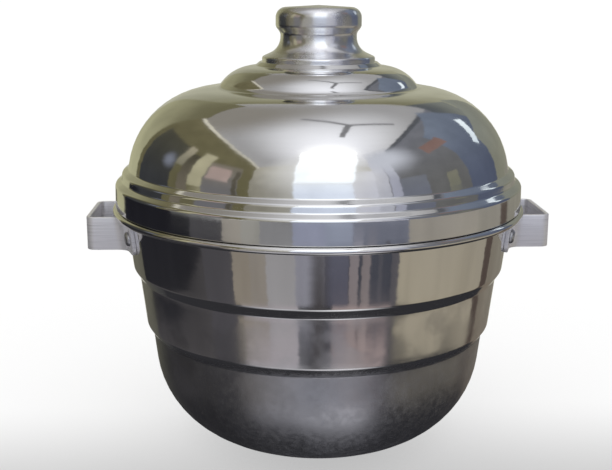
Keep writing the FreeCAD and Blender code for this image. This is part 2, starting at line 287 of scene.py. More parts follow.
def pot_metal():
    """Buffed above the upper ledge, clouded between the ledges, dull and smoky on the bowl."""
    smear_scale = 28.0
    smear_detail = 4.0
    blotch_scale = 46.0
    blotch_detail = 7.0
    blotch_range = (0.36, 0.64)
    scuff_scale = 260.0
    scuff_detail = 5.0
    scuff_depth = 0.000007
    ring_scale = 260.0
    ring_depth = 0.000006
    ring_swing = 0.004
    wave_scale = 22.0
    wave_depth = 0.00014
    buffed_colour = (0.88, 0.87, 0.86, 1.0)
    clouded_colours = ((0.88, 0.87, 0.87, 1.0), (0.80, 0.79, 0.79, 1.0))
    smoky_colours = ((0.58, 0.58, 0.61, 1.0), (0.49, 0.49, 0.515, 1.0))
    buffed_roughness = (0.06, 0.11)
    clouded_roughness = (0.10, 0.19)
    smoky_roughness = (0.30, 0.40)
    material, tree, shader = bare_metal("spun_pot_aluminium")
    place = object_place(tree)
    height = split_place(tree)["Z"]
    clouding = spread(tree, height, (upper_crest[1], upper_foot[1]), whole_share)
    dullness = spread(tree, height, (lower_crest[1], lower_foot[1]), whole_share)
    smears = noise(tree, place, smear_scale, smear_detail)
    blotches = spread(tree, noise(tree, place, blotch_scale, blotch_detail), blotch_range, whole_share)
    scuffs = noise(tree, place, scuff_scale, scuff_detail)
    clouded = colour_mix(tree, blotches, *clouded_colours)
    smoky = colour_mix(tree, blotches, *smoky_colours)
    colour = colour_mix(tree, dullness, colour_mix(tree, clouding, buffed_colour, clouded), smoky)
    polish = spread(tree, smears, most_noise, buffed_roughness)
    cloud = spread(tree, blotches, whole_share, clouded_roughness)
    satin = spread(tree, scuffs, most_noise, smoky_roughness)
    roughness = value_mix(tree, dullness, value_mix(tree, clouding, polish, cloud), satin)
    waves = noise(tree, place, wave_scale)
    rings = noise(tree, ring_place(tree), ring_scale)
    normal = bumps(tree, (waves, wave_depth), (rings, ring_depth), (scuffs, scuff_depth))
    finish(tree, shader, colour, roughness, ring_grain(tree, shader, normal, ring_swing))
    return material


outer_wall = rounded_section([
    (0, 0, 0),
    (base_corner_radius, 0, bowl_rounding),
    (*lower_foot, ledge_foot_rounding),
    (*lower_crest, ledge_crest_rounding),
    (*upper_foot, ledge_foot_rounding),
    (*upper_crest, ledge_crest_rounding),
    (mouth_radius, rim_base, 0),
])
mouth_inside = mouth_radius - pot_sheet * math.cos(math.radians(wall_taper_degrees))
rolled_rim = rounded_section([
    (mouth_radius, rim_base, 0),
    (rim_radius, rim_base, rim_roll_height / 2),
    (rim_radius, pot_height, rim_roll_height / 2),
    (mouth_inside, pot_height, rim_lip_rounding),
    (mouth_inside, rim_base, 0),
])
inner_wall = sheet_back(outer_wall, pot_sheet)
pot = spun_piece("spun_pot", outer_wall + rolled_rim[1:-1] + inner_wall[::-1], pot_metal())
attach(pot, "pot")
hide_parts("pot_body")

# Strap handles: two lengths of flat aluminium bar, each bent to a squared U with its ends turned out as ears
# that lie on the pot's wall. The bar is left as rolled, matt and scratched along its length.
strap_low, strap_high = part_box("right_handle")
strap_thickness = 0.0024
strap_edge_rounding = 0.0005
handle_half_width = 0.0270
handle_corner_rounding = 0.0040
ear_bend_rounding = 0.0100
ear_length = 0.0140
ear_corner_rounding = 0.0060
ear_gap = 0.0001
bend_steps = 10
edge_steps = 3

arm_offset = handle_half_width - strap_thickness / 2
grip_middle = strap_high.x - strap_thickness / 2


def ear_bend(wall_radius):
    """Radius of an ear's middle line on a wall of this radius, and the centre of the bend beside it."""
    ear_radius = wall_radius + ear_gap + strap_thickness / 2
    centre_y = arm_offset + ear_bend_rounding
    centre_x = math.sqrt((ear_radius + ear_bend_rounding) ** 2 - centre_y ** 2)
    return ear_radius, Vector((centre_x, centre_y))


def strap_line(wall_radius):
    """Half the strap's middle line from an ear's end to the grip: place, outward way, loss of height."""
    ear_radius, bend_centre = ear_bend(wall_radius)
    bend_bearing = math.atan2(bend_centre.y, bend_centre.x)
    quarter = math.pi / 2
    line = []
    for i in range(bend_steps + 1):
        turn = quarter * i / bend_steps
        from_end = ear_corner_rounding * (1 - math.cos(turn))
        outward = unit(bend_bearing + (ear_length - from_end) / ear_radius)
        line.append((outward * ear_radius, outward, ear_corner_rounding * (1 - math.sin(turn))))
    for i in range(bend_steps + 1):
        spoke = unit(math.pi + bend_bearing + (quarter - bend_bearing) * i / bend_steps)
        line.append((bend_centre + spoke * ear_bend_rounding, -spoke, 0))
    corner_centre = Vector((grip_middle - handle_corner_rounding, arm_offset - handle_corner_rounding))
    for i in range(bend_steps + 1):
        spoke = unit(quarter - quarter * i / bend_steps)
        line.append((corner_centre + spoke * handle_corner_rounding, spoke, 0))
    return line


def strap_edges(low, high):
    """The strap's cross-section as (offset, height) pairs, with its edges eased."""
    offset = strap_thickness / 2 - strap_edge_rounding
    low_centre = low + strap_edge_rounding
    high_centre = high - strap_edge_rounding
    centres = ((offset, high_centre), (-offset, high_centre), (-offset, low_centre), (offset, low_centre))
    pairs = []
    for quarter, centre in enumerate(centres):
        for i in range(edge_steps + 1):
            spoke = unit(math.pi / 2 * (quarter + i / edge_steps))
            pairs.append(Vector(centre) + spoke * strap_edge_rounding)
    return pairs


def strap_metal():
    """Matt rolled aluminium under a pale film, scratched along the bar, with grime in the scratches."""
    metal_share = 0.8
    scratch_stretch = (30.0, 30.0, 1400.0)
    scratch_scale = 1.0
    scratch_detail = 3.0
    scratch_range = (0.45, 0.75)
    scratch_depth = 0.00006
    smudge_scale = 90.0
    smudge_detail = 4.0
    pit_scale = 700.0
    pit_depth = 0.00002
    clean_colour = (0.90, 0.89, 0.93, 1.0)
    grimy_colour = (0.62, 0.61, 0.65, 1.0)
    matt_roughness = (0.40, 0.54)
    material, tree, shader = bare_metal("rolled_strap_aluminium")
    shader.inputs["Metallic"].default_value = metal_share
    place = object_place(tree)
    along = add_node(tree, "ShaderNodeMapping", {"Vector": place, "Scale": scratch_stretch})
    scratches = noise(tree, along.outputs["Vector"], scratch_scale, scratch_detail)
    smudges = noise(tree, place, smudge_scale, smudge_detail)
    grime = maths(tree, "MULTIPLY", spread(tree, scratches, scratch_range, whole_share), smudges)
    colour = colour_mix(tree, grime, clean_colour, grimy_colour)
    roughness = spread(tree, smudges, most_noise, matt_roughness)
    pits = noise(tree, place, pit_scale)
    finish(tree, shader, colour, roughness, bumps(tree, (scratches, scratch_depth), (pits, pit_depth)))
    return material


def strap_handle(name, material, turn):
    """A whole strap, its second half mirrored from the first, turned about the pot's axis."""
    low_line = strap_line(upper_wall_radius(strap_low.z))
    high_line = strap_line(upper_wall_radius(strap_high.z))
    bm = bmesh.new()
    rings = []
    for side, stations in ((1, zip(low_line, high_line)), (-1, reversed(list(zip(low_line, high_line))))):
        for (low_place, low_out, drop), (high_place, high_out, drop) in stations:
            ring = []
            for offset, height in strap_edges(strap_low.z + drop, strap_high.z - drop):
                share = (height - strap_low.z) / (strap_high.z - strap_low.z)
                flat = (low_place + low_out * offset).lerp(high_place + high_out * offset, share)
                ring.append(bm.verts.new((flat.x, flat.y * side, height)))
            rings.append(ring)
    for ring, following in zip(rings, rings[1:]):
        for i in range(len(ring)):
            bm.faces.new((ring[i - 1], ring[i], following[i], following[i - 1]))
    bm.faces.new(rings[0])
    bm.faces.new(rings[-1])
    bm.transform(Matrix.Rotation(turn, 4, "Z"))
    return finished_piece(name, bm, material)


rolled_aluminium = strap_metal()
handle_turns = {"right_handle": 0.0, "left_handle": math.pi}
for node, turn in handle_turns.items():
    strap = strap_handle(node.replace("handle", "strap"), rolled_aluminium, turn)
    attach(strap, "pot")
    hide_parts(node)

# Handle rivets: one aluminium rivet through each ear and the pot's wall, with a domed head outside and a
# flat tail hammered over inside the pot.
rivet_shank_radius = 0.0025
rivet_head_radius = 0.0046
rivet_head_height = 0.0024
rivet_tail_height = 0.0016
rivet_seat = 0.00012
rivet_steps = 48
rivets_each = 2


def rivet_metal():
    """Plain aluminium, a little dented by the hammer, with painted shade in the dents and a painted highlight
    on their crests.
    """
    dent_scale = 420.0
    dent_depth = 0.0002
    painted_shade_colour = (0.58, 0.58, 0.60, 1.0)
    painted_highlight_colour = (0.70, 0.70, 0.72, 1.0)
    satin_roughness = (0.38, 0.50)
    material, tree, shader = bare_metal("rivet_aluminium")
    dents = noise(tree, object_place(tree), dent_scale)
    # Darker where the dents sink and lighter where they rise: painted shade and painted highlight.
    colour = colour_mix(tree, dents, painted_shade_colour, painted_highlight_colour)
    roughness = spread(tree, dents, most_noise, satin_roughness)
    finish(tree, shader, colour, roughness, bumps(tree, (dents, dent_depth)))
    return material


def node_tree_with(name, sizes):
    """An empty geometry tree with a mesh input, a named number input for each size, and a material input."""
    tree = bpy.data.node_groups.new(name, "GeometryNodeTree")
    tree.interface.new_socket("Geometry", in_out="INPUT", socket_type="NodeSocketGeometry")
    for size, value in sizes.items():
        kind = "NodeSocketInt" if isinstance(value, int) else "NodeSocketFloat"
        tree.interface.new_socket(size, in_out="INPUT", socket_type=kind)
    tree.interface.new_socket("Material", in_out="INPUT", socket_type="NodeSocketMaterial")
    tree.interface.new_socket("Geometry", in_out="OUTPUT", socket_type="NodeSocketGeometry")
    return tree, tree.nodes.new("NodeGroupInput").outputs


def turned_place(tree, angle, radius, **height):
    """The place at an angle and a radius about the axis."""
    across = maths(tree, "MULTIPLY", maths(tree, "COSINE", angle), radius)
    along = maths(tree, "MULTIPLY", maths(tree, "SINE", angle), radius)
    return vector_of(tree, X=across, Y=along, **height)


def made_real(tree, geometry):
    """Instances turned into plain geometry."""
    return add_node(tree, "GeometryNodeRealizeInstances", {"Geometry": geometry}).outputs["Geometry"]


def close_tree(tree, geometry, material):
    """Ends a tree: instances made real, then the material set."""
    inputs = {"Geometry": made_real(tree, geometry), "Material": material}
    dressed = add_node(tree, "GeometryNodeSetMaterial", inputs)
    add_node(tree, "NodeGroupOutput", {"Geometry": dressed.outputs["Geometry"]})


def grown(piece, tree, sizes, material):
    """Runs a tree on a piece's mesh with these sizes, and leaves the plain mesh that it makes."""
    modifier = piece.modifiers.new(tree.name, "NODES")
    modifier.node_group = tree
    values = {**sizes, "Material": material}
    for socket in tree.interface.items_tree:
        if socket.in_out == "INPUT" and socket.name in values:
            modifier[socket.identifier] = values[socket.name]
    mesh = bpy.data.meshes.new_from_object(piece.evaluated_get(bpy.context.evaluated_depsgraph_get()))
    piece.modifiers.remove(modifier)
    piece.data = mesh
    mesh.name = piece.name
    return piece


rivet_height = (strap_low.z + strap_high.z) / 2
rivet_wall = upper_wall_radius(rivet_height)
ear_radius, bend_centre = ear_bend(rivet_wall)
rivet_sizes = {
    "Wall Radius": rivet_wall,
    "Height": rivet_height,
    "Bearing": math.atan2(bend_centre.y, bend_centre.x) + ear_length / ear_radius / 2,
    "Lean": math.radians(wall_taper_degrees),
    "Turn": 0.0,
}
rivet_tree, rivet_input = node_tree_with("rivet_pair", rivet_sizes)
number = rivet_tree.nodes.new("GeometryNodeInputIndex").outputs["Index"]
# Number 0 or 1 becomes side -1 or 1.
side = maths(rivet_tree, "MULTIPLY_ADD", number, 2.0, -1.0)
angle = maths(rivet_tree, "MULTIPLY_ADD", side, rivet_input["Bearing"], rivet_input["Turn"])
rivet_place = turned_place(rivet_tree, angle, rivet_input["Wall Radius"], Z=rivet_input["Height"])
tip_over = maths(rivet_tree, "ADD", rivet_input["Lean"], math.pi / 2)
tipped = vector_of(rivet_tree, Y=tip_over, Z=angle)
spots = add_node(rivet_tree, "GeometryNodePoints", {"Count": rivets_each, "Position": rivet_place})
pair = add_node(rivet_tree, "GeometryNodeInstanceOnPoints", {
    "Points": spots.outputs["Points"],
    "Instance": rivet_input["Geometry"],
    "Rotation": add_node(rivet_tree, "FunctionNodeEulerToRotation", {"Euler": tipped}).outputs["Rotation"],
}).outputs["Instances"]
close_tree(rivet_tree, pair, rivet_input["Material"])

tail_seat = -pot_sheet - rivet_seat
head_seat = ear_gap + strap_thickness + rivet_seat
rivet_section = rounded_section([
    (0, tail_seat - rivet_tail_height, 0),
    (rivet_head_radius, tail_seat - rivet_tail_height, rivet_tail_height / 2),
    (rivet_head_radius, tail_seat, 0),
    (rivet_shank_radius, tail_seat, 0),
    (rivet_shank_radius, head_seat, 0),
    (rivet_head_radius, head_seat, 0),
    (rivet_head_radius, head_seat + rivet_head_height, rivet_head_height),
    (0, head_seat + rivet_head_height, 0),
])
plain_aluminium = rivet_metal()
for handle, turn in handle_turns.items():
    pair_name = handle.replace("handle", "rivet_pair")
    rivets = spun_piece(pair_name, rivet_section, plain_aluminium, steps=rivet_steps)
    grown(rivets, rivet_tree, {**rivet_sizes, "Turn": turn}, plain_aluminium)
    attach(rivets, "pot")
    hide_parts(handle + "_rivets")

# Idli plates: two discs of thin aluminium sheet, each pressed into seven dished cups with rounded lips and
# punched with steam holes in the cups and vents between them. They lie loose on the pot's ledges, one set
# of cups turned from the other.
plate_sheet = 0.0012
plate_land = 0.0074
ring_cup_count = 6
cup_gap = 0.0075
cup_collar = 0.0030
cup_depth = 0.0165
cup_side_run = 0.0130
cup_floor_rounding = 0.0350
cup_lip_rounding = 0.0040
cup_steps = 72
steam_hole_radius = 0.0016
steam_hole_ring = 0.0130
steam_hole_count = 6
hole_steps = 20
inner_vent_radius = 0.0035
outer_vent_radius = 0.0055
vent_land = 0.0080
plate_steps = 216


def plate_metal():
    """Satin pressed sheet with faint marks of dried water."""
    mark_scale = 55.0
    mark_detail = 6.0
    stain_range = (0.50, 0.66)
    stain_shares = (0.0, 0.5)
    wave_scale = 30.0
    wave_depth = 0.0001
    grain_scale = 900.0
    grain_depth = 0.000008
    clean_colour = (0.80, 0.80, 0.81, 1.0)
    stained_colour = (0.62, 0.61, 0.58, 1.0)
    satin_roughness = (0.24, 0.38)
    material, tree, shader = bare_metal("pressed_plate_aluminium")
    place = object_place(tree)
    marks = noise(tree, place, mark_scale, mark_detail)
    stain = spread(tree, marks, stain_range, stain_shares)
    colour = colour_mix(tree, stain, clean_colour, stained_colour)
    roughness = spread(tree, marks, most_noise, satin_roughness)
    waves = noise(tree, place, wave_scale)
    grain = noise(tree, place, grain_scale)
    finish(tree, shader, colour, roughness, bumps(tree, (waves, wave_depth), (grain, grain_depth)))
    return material


def ring_points(tree, count, radius, turn):
    """Points evenly spaced round the axis."""
    number = tree.nodes.new("GeometryNodeInputIndex").outputs["Index"]
    step = maths(tree, "DIVIDE", math.tau, count)
    angle = maths(tree, "MULTIPLY_ADD", number, step, turn)
    inputs = {"Count": count, "Position": turned_place(tree, angle, radius)}
    return add_node(tree, "GeometryNodePoints", inputs).outputs["Points"]


def joined(tree, *geometries):
    """Several geometries as one."""
    join = tree.nodes.new("GeometryNodeJoinGeometry")
    for geometry in geometries:
        tree.links.new(geometry, join.inputs["Geometry"])
    return join.outputs["Geometry"]


def moved(tree, geometry, offset):
    """A geometry moved by an offset."""
    inputs = {"Geometry": geometry, "Translation": offset}
    return add_node(tree, "GeometryNodeTransform", inputs).outputs["Geometry"]


def on_points(tree, points, shape):
    """A shape at each point."""
    inputs = {"Points": points, "Instance": shape}
    return add_node(tree, "GeometryNodeInstanceOnPoints", inputs).outputs["Instances"]


def circle(tree, steps, radius):
    """A circle about the axis."""
    inputs = {"Resolution": steps, "Radius": radius}
    return add_node(tree, "GeometryNodeCurvePrimitiveCircle", inputs).outputs["Curve"]


def plate_tree(sizes):
    """Drills one cup, sets seven of them round the plate, and fills the web between cups, vents and edge."""
    level = (1.0, 1.0, 0.0)
    tree, given = node_tree_with("idli_plate", sizes)
    middle = add_node(tree, "GeometryNodePoints", {"Count": 1}).outputs["Points"]

    hole_points = joined(tree, middle, ring_points(tree, given["Steam Holes"], given["Steam Hole Ring"], 0.0))
    drill = add_node(tree, "GeometryNodeMeshCylinder", {
        "Vertices": given["Hole Steps"],
        "Radius": given["Steam Hole Radius"],
        "Depth": given["Drill Length"],
    }).outputs["Mesh"]
    drills = moved(tree, on_points(tree, hole_points, drill), vector_of(tree, Z=given["Drill Height"]))
    cup_and_drills = {"Mesh 1": given["Geometry"], "Mesh 2": made_real(tree, drills)}
    drilled = add_node(tree, "GeometryNodeMeshBoolean", cup_and_drills,
                       operation="DIFFERENCE", solver="EXACT")
    place = tree.nodes.new("GeometryNodeInputPosition").outputs["Position"]
    reach = length_of(tree, vector_maths(tree, "MULTIPLY", place, level))
    past_cut = {"A": reach, "B": given["Cut Radius"]}
    at_collar = add_node(tree, "FunctionNodeCompare", past_cut, operation="GREATER_THAN")
    cup = add_node(tree, "GeometryNodeDeleteGeometry", {
        "Geometry": drilled.outputs["Mesh"],
        "Selection": at_collar.outputs["Result"],
    }, domain="FACE").outputs["Geometry"]

    cup_points = joined(tree, middle, ring_points(tree, given["Cups"], given["Cup Ring"], given["Turn"]))
    cups = on_points(tree, cup_points, cup)
    half_pitch = maths(tree, "DIVIDE", math.pi, given["Cups"])
    between = maths(tree, "ADD", given["Turn"], half_pitch)
    inner_spots = ring_points(tree, given["Cups"], given["Inner Vent Ring"], between)
    outer_spots = ring_points(tree, given["Cups"], given["Outer Vent Ring"], between)
    edges = made_real(tree, joined(
        tree,
        circle(tree, given["Plate Steps"], given["Plate Radius"]),
        on_points(tree, inner_spots, circle(tree, given["Hole Steps"], given["Inner Vent Radius"])),
        on_points(tree, outer_spots, circle(tree, given["Hole Steps"], given["Outer Vent Radius"])),
    ))
    collar = circle(tree, given["Cup Steps"], given["Collar Radius"])
    collars = made_real(tree, on_points(tree, cup_points, collar))
    web = add_node(tree, "GeometryNodeFillCurve", {"Curve": joined(tree, edges, collars)}).outputs["Mesh"]
    drop = vector_of(tree, Z=maths(tree, "MULTIPLY", given["Sheet"], -1.0))
    under = add_node(tree, "GeometryNodeFlipFaces", {"Mesh": moved(tree, web, drop)}).outputs["Mesh"]
    edge_lines = add_node(tree, "GeometryNodeCurveToMesh", {"Curve": edges}).outputs["Mesh"]
    pulled_down = {"Mesh": edge_lines, "Offset": drop, "Offset Scale": 1.0}
    walls = add_node(tree, "GeometryNodeExtrudeMesh", pulled_down, mode="EDGES").outputs["Mesh"]
    plate = made_real(tree, joined(tree, web, under, walls, cups))
    welded = add_node(tree, "GeometryNodeMergeByDistance", {"Geometry": plate, "Distance": weld_distance})
    placed = moved(tree, welded.outputs["Geometry"], vector_of(tree, Z=given["Height"]))
    close_tree(tree, placed, given["Material"])
    return tree


lower_plate_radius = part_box("lower_idli_plate")[1].x
cup_radius = (lower_plate_radius - plate_land - cup_gap) / 3
cup_ring = cup_radius * 2 + cup_gap
collar_radius = cup_radius + cup_collar
cup_top = rounded_section([
    (collar_radius, 0, 0),
    (cup_radius, 0, cup_lip_rounding),
    (cup_radius - cup_side_run, -cup_depth, cup_floor_rounding),
    (0, -cup_depth, 0),
])
cup_section = cup_top + sheet_back(cup_top, plate_sheet)[::-1]
plate_sizes = {
    "Sheet": plate_sheet,
    "Cups": ring_cup_count,
    "Cup Ring": cup_ring,
    "Cup Steps": cup_steps,
    "Collar Radius": collar_radius,
    "Cut Radius": collar_radius - weld_distance,
    "Steam Holes": steam_hole_count,
    "Steam Hole Ring": steam_hole_ring,
    "Steam Hole Radius": steam_hole_radius,
    "Hole Steps": hole_steps,
    "Drill Length": cup_depth,
    "Drill Height": -cup_depth,
    "Inner Vent Radius": inner_vent_radius,
    "Inner Vent Ring": cup_ring / math.cos(math.pi / ring_cup_count) / 2,
    "Outer Vent Radius": outer_vent_radius,
    "Outer Vent Ring": lower_plate_radius - vent_land - outer_vent_radius,
    "Plate Steps": plate_steps,
    "Plate Radius": lower_plate_radius,
    "Height": 0.0,
    "Turn": 0.0,
}
pressing = plate_tree(plate_sizes)
pressed_aluminium = plate_metal()
for body, turn in (("lower_plate", 0.0), ("upper_plate", math.pi / ring_cup_count)):
    node = body.replace("plate", "idli_plate")
    plate_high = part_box(node)[1]
    plate_name = body.replace("plate", "cup_plate")
    plate = spun_piece(plate_name, cup_section, pressed_aluminium, closed=True, steps=cup_steps)
    own_sizes = {"Plate Radius": plate_high.x, "Height": plate_high.z, "Turn": turn}
    grown(plate, pressing, {**plate_sizes, **own_sizes}, pressed_aluminium)
    plate.data.shade_smooth()
    plate.data.set_sharp_from_angle(angle=crease_angle)
    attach(plate, body)
    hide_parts(node)

# Lid: one disc of aluminium sheet spun to a dome with a raised tier for the knob, a bead that stiffens it, a
# plain skirt that stands on the pot's rim, and a spigot that drops into the pot's mouth. Buffed to a mirror
# outside.
lid_low, lid_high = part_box("lid_dome")
lid_sheet = 0.0015
lid_seat_gap = 0.0003
skirt_inset = 0.0020
skirt_height = 0.0148
skirt_lean = 0.0003
skirt_foot_rounding = 0.0008
spigot_gap = 0.0007
bead_height = 0.0044
bead_lean = 0.0005
shelf_run = 0.0040
shelf_rise = 0.0026
crest_rounding = 0.0026
root_rounding = 0.0016
dome_rise = 0.0749
dome_lean_degrees = 9.5
dome_rounding = 0.0560
crown_slope_degrees = 7.5
tier_radius = 0.0640
tier_height = 0.0107
tier_lean = 0.0084
tier_rounding = 0.0260
tier_root_rounding = 0.0080
tier_slope_rise = 0.0026
knob_foot_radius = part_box("lid_knob")[1].x
knob_seat_run = 0.0030
knob_seat_margin = 0.0015
knob_seat_rounding = 0.0015
screw_hole_radius = 0.0026


def lid_metal():
    """Mirror-buffed aluminium with the fine rings and slow waves that spinning leaves, and finger smears."""
    smear_scale = 18.0
    smear_detail = 5.0
    tint_range = (0.35, 0.65)
    smear_range = (0.35, 0.70)
    wave_scale = 20.0
    wave_depth = 0.00022
    ring_scale = 300.0
    ring_depth = 0.000007
    ring_swing = 0.005
    clear_colour = (0.90, 0.90, 0.89, 1.0)
    smeared_colour = (0.84, 0.84, 0.84, 1.0)
    mirror_roughness = (0.07, 0.11)
    material, tree, shader = bare_metal("buffed_lid_aluminium")
    place = object_place(tree)
    smears = noise(tree, place, smear_scale, smear_detail)
    tint = spread(tree, smears, tint_range, whole_share)
    colour = colour_mix(tree, tint, clear_colour, smeared_colour)
    roughness = spread(tree, smears, smear_range, mirror_roughness)
    waves = noise(tree, place, wave_scale)
    rings = noise(tree, ring_place(tree), ring_scale)
    normal = bumps(tree, (waves, wave_depth), (rings, ring_depth))
    finish(tree, shader, colour, roughness, ring_grain(tree, shader, normal, ring_swing))
    return material


lid_base = pot_height + lid_seat_gap
skirt_radius = rim_radius - skirt_inset
tier_base = lid_base + dome_rise
knob_seat = lid_high.z
knob_seat_foot = tier_base + tier_height + tier_slope_rise
knob_seat_radius = knob_foot_radius + knob_seat_margin
spigot_radius = upper_wall_radius(lid_low.z) - pot_sheet - spigot_gap
step_corners = []
radius = skirt_radius
height = lid_base
for riser, lean in ((skirt_height, skirt_lean), (bead_height, bead_lean)):
    radius -= lean
    height += riser
    step_corners.append((radius, height, crest_rounding))
    radius -= shelf_run
    height += shelf_rise
    step_corners.append((radius, height, root_rounding))
dome_lean = math.tan(math.radians(dome_lean_degrees))
crown_slope = math.tan(math.radians(crown_slope_degrees))
crown_run = (radius - tier_radius + (height - tier_base) * dome_lean) / (1 - dome_lean * crown_slope)
lid_outside = rounded_section([
    (spigot_radius, lid_low.z, 0),
    (spigot_radius, lid_base, root_rounding),
    (skirt_radius, lid_base, skirt_foot_rounding),
    *step_corners,
    (tier_radius + crown_run, tier_base - crown_run * crown_slope, dome_rounding),
    (tier_radius, tier_base, tier_root_rounding),
    (tier_radius - tier_lean, tier_base + tier_height, tier_rounding),
    (knob_seat_radius + knob_seat_run, knob_seat_foot, knob_seat_rounding),
    (knob_seat_radius, knob_seat, knob_seat_rounding),
    (screw_hole_radius, knob_seat, 0),
])
lid = spun_piece("spun_lid", lid_outside + sheet_back(lid_outside, lid_sheet)[::-1], lid_metal(), closed=True)
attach(lid, "lid")
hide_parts("lid_dome")

# Knob: turned from aluminium bar on a lathe, hollow underneath with a boss for its screw, a flared foot, a
# waist and a rounded cap to hold it by. The tool's fine rings are left on, so it shines less than the lid.
knob_low, knob_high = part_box("lid_knob")
knob_crown = 0.0016
knob_cap_radius = 0.0273
knob_cap_base = 0.0218
knob_cap_rounding = 0.0065
knob_cap_foot_rounding = 0.0040
knob_waist_radius = 0.0243
knob_waist_top = 0.0178
knob_waist_rounding = 0.0040
knob_flare_top = 0.0084
knob_flare_rounding = 0.0110
knob_foot_height = 0.0030
knob_foot_rounding = 0.0016
knob_wall = 0.0034
knob_roof = 0.0060
knob_boss_radius = 0.0075
screw_hole_depth = 0.0180


def knob_metal():
    """Turned aluminium: rings from the lathe tool, and a satin sheen dulled by hands."""
    ring_scale = 1100.0
    ring_detail = 3.0
    ring_depth = 0.00001
    ring_swing = 0.006
    wear_scale = 70.0
    wear_detail = 4.0
    dent_depth = 0.00004
    bright_colour = (0.95, 0.95, 0.97, 1.0)
    worn_colour = (0.86, 0.86, 0.88, 1.0)
    satin_roughness = (0.19, 0.28)
    material, tree, shader = bare_metal("turned_knob_aluminium")
    place = object_place(tree)
    rings = noise(tree, ring_place(tree), ring_scale, ring_detail)
    wear = noise(tree, place, wear_scale, wear_detail)
    colour = colour_mix(tree, wear, bright_colour, worn_colour)
    roughness = spread(tree, wear, most_noise, satin_roughness)
    normal = bumps(tree, (rings, ring_depth), (wear, dent_depth))
    finish(tree, shader, colour, roughness, ring_grain(tree, shader, normal, ring_swing))
    return material


cavity_radius = knob_waist_radius - knob_wall
cavity_roof = knob_high.z - knob_roof
foot_top = knob_low.z + knob_foot_height
screw_hole_end = knob_low.z + screw_hole_depth
knob = spun_piece("turned_knob", rounded_section([
    (0, knob_high.z, 0),
    (knob_cap_radius, knob_high.z - knob_crown, knob_cap_rounding),
    (knob_cap_radius, knob_low.z + knob_cap_base, knob_cap_foot_rounding),
    (knob_waist_radius, knob_low.z + knob_waist_top, knob_waist_rounding),
    (knob_waist_radius, knob_low.z + knob_flare_top, knob_flare_rounding),
    (knob_foot_radius, foot_top, knob_foot_rounding),
    (knob_foot_radius, knob_low.z, 0),
    (cavity_radius, knob_low.z, 0),
    (cavity_radius, cavity_roof, knob_wall),
    (knob_boss_radius, cavity_roof, knob_wall),
    (knob_boss_radius, knob_low.z, 0),
    (screw_hole_radius, knob_low.z, 0),
    (screw_hole_radius, screw_hole_end, 0),
    (0, screw_hole_end, 0),
]), knob_metal())
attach(knob, "lid")
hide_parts("lid_knob")

# Knob screw and washer: a slotted steel pan-head screw and a plain washer, zinc plated, which hold the knob
# from inside the lid.
def zinc_plate():
    """Zinc-plated steel, faintly yellow and cloudy."""
    cloud_scale = 320.0
    cloud_detail = 4.0
    cloud_depth = 0.00003
    yellow_colour = (0.62, 0.61, 0.57, 1.0)
    bright_colour = (0.74, 0.74, 0.75, 1.0)
    plated_roughness = (0.26, 0.42)
    material, tree, shader = bare_metal("zinc_plated_steel")
    clouds = noise(tree, object_place(tree), cloud_scale, cloud_detail)
    colour = colour_mix(tree, clouds, yellow_colour, bright_colour)
    roughness = spread(tree, clouds, most_noise, plated_roughness)
    finish(tree, shader, colour, roughness, bumps(tree, (clouds, cloud_depth)))
    return material


plated_steel = zinc_plate()
for node in ("knob_screw", "knob_washer"):
    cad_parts[node].data.materials.clear()
    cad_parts[node].data.materials.append(plated_steel)

# Camera: a little above the lid and turned a few degrees round to the left, as the photograph was taken. Its
# place was fitted to the pot's rings.
camera_distance = 0.681
camera_height = 0.2908
camera_turn = math.radians(3.0)
camera_pitch = math.radians(13.10)
camera_pan = math.radians(0.65)
camera_roll = math.radians(0.13)
camera_lens = 62.0
camera_data = bpy.data.cameras.new("camera")
camera_data.lens = camera_lens
camera = bpy.data.objects.new("camera", camera_data)
bpy.context.scene.collection.objects.link(camera)
stand_left = camera_distance * math.sin(camera_turn)
stand_back = camera_distance * math.cos(camera_turn)
stand = Vector((-stand_left, -stand_back, camera_height))
heading = Matrix.Rotation(camera_pan - camera_turn, 4, "Z")
tilt = Matrix.Rotation(math.pi / 2 - camera_pitch, 4, "X")
roll = Matrix.Rotation(camera_roll, 4, "Z")
camera.matrix_world = Matrix.Translation(stand) @ heading @ tilt @ roll
bpy.context.scene.camera = camera

# Floor: a wide sheet of matt white paint that partly glows as painted even light, with a soft pale grey patch
# of painted shade before the pot. It takes a faint soft shadow, and the metal doesn't show it.
floor_reach = 6.0
white_from = 0.04
grey_from = -0.13
grey_until = -0.30
white_again = -0.80
grey_half_width = 0.30
white_half_width = 0.90


